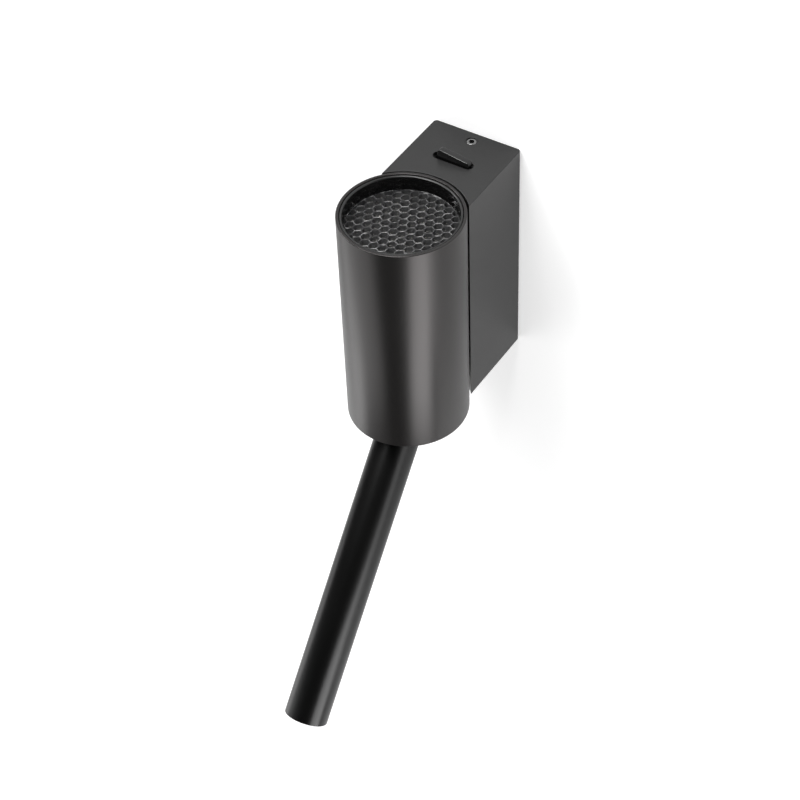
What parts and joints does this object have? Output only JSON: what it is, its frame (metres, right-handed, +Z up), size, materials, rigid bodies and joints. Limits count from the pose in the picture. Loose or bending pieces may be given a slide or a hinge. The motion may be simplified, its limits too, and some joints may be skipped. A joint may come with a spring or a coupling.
{
  "type": "wall light",
  "caption": "Wall light with a round uplight can, honeycomb louvre and rocker switch on a flat wall box, and a slim reading tube that swivels and tilts below.",
  "frame": {"origin": "middle of the two wall screw holes, on the back face of the wall plate, which is the wall's surface", "axes": "+Z up, +Y into the wall, so the room lies towards -Y; +X is to the right when facing the wall"},
  "size_m": [0.06, 0.182, 0.2666],
  "materials": {
    "plate_steel": "zinc plated sheet",
    "black_rubber": "matt",
    "ivory_plastic": "moulded, satin",
    "contact_brass": "plain",
    "screw_steel": "turned and plated",
    "black_paint": "fine satin black",
    "black_plastic": "moulded, satin",
    "switch_plastic": "moulded, half gloss",
    "brown_lead": "insulation",
    "blue_lead": "insulation",
    "black_lead": "insulation",
    "can_finish": "black anodised, satin",
    "lamp_ceramic": "unglazed ceramic",
    "lamp_white": "gloss",
    "lamp_glass": "clear",
    "liner_black": "gloss black",
    "louvre_foil": "black anodised foil",
    "white_slide": "slippery, plain",
    "tube_finish": "black anodised, satin",
    "bare_aluminium": "turned",
    "board_green": "lacquered",
    "led_yellow": "clear coated"
  },
  "bodies": {
    "wall_body": {"wall_plate": "plate_steel", "cable_grommet": "black_rubber", "terminal_block": "ivory_plastic", "terminal_screws": "contact_brass", "terminal_fixing": "screw_steel", "earth_screw": "contact_brass", "earth_tag": "plate_steel", "box_shell": "black_paint", "clamp_screws": "screw_steel", "clamp_nuts": "screw_steel", "driver_case": "ivory_plastic", "driver_pad": "black_rubber", "switch_body": "black_plastic", "switch_pin": "screw_steel", "switch_terminals": "contact_brass", "switch_screws": "screw_steel", "switch_leads": "brown_lead", "driver_lead": "blue_lead", "lamp_lead": "brown_lead", "can_tube": "can_finish", "can_spacers": "black_plastic", "can_screws": "screw_steel", "wire_bush": "black_plastic", "lamp_bracket": "plate_steel", "lamp_holder": "lamp_ceramic", "holder_screws": "screw_steel", "lamp_body": "lamp_white", "lamp_lens": "lamp_glass", "lamp_pins": "screw_steel", "glare_ring": "liner_black", "honeycomb_louvre": "louvre_foil", "slide_ring": "white_slide", "wave_washer": "screw_steel", "stop_ring": "plate_steel", "circlip": "screw_steel"},
    "switch_lever": {"switch_rocker": "switch_plastic"},
    "swivel": {"turntable": "tube_finish", "stop_pin": "screw_steel", "pivot_pins": "screw_steel", "friction_washers": "white_slide"},
    "reading_tube": {"tube_knuckle": "tube_finish", "tube_shell": "tube_finish", "knuckle_screw": "screw_steel", "heat_sink": "bare_aluminium", "led_board": "board_green", "led_chip": "led_yellow", "tube_lens": "lamp_glass", "lens_ring": "liner_black", "tube_lead": "black_lead"}
  },
  "joints": [
    {"name": "rocker_tip", "type": "hinge", "parent": "wall_body", "child": "switch_lever", "pos_m": [0, -0.02261, 0.0555], "axis": [0, -1, 0], "range_deg": [0, 16.8]},
    {"name": "tube_swivel", "type": "hinge", "parent": "wall_body", "child": "swivel", "pos_m": [0, -0.06791, -0.0565], "axis": [0, 0, 1], "range_deg": [-90, 90]},
    {"name": "tube_tilt", "type": "hinge", "parent": "swivel", "child": "reading_tube", "pos_m": [0, -0.06375, -0.05518], "axis": [-1, 0, 0], "range_deg": [-38, 12]}
  ]
}
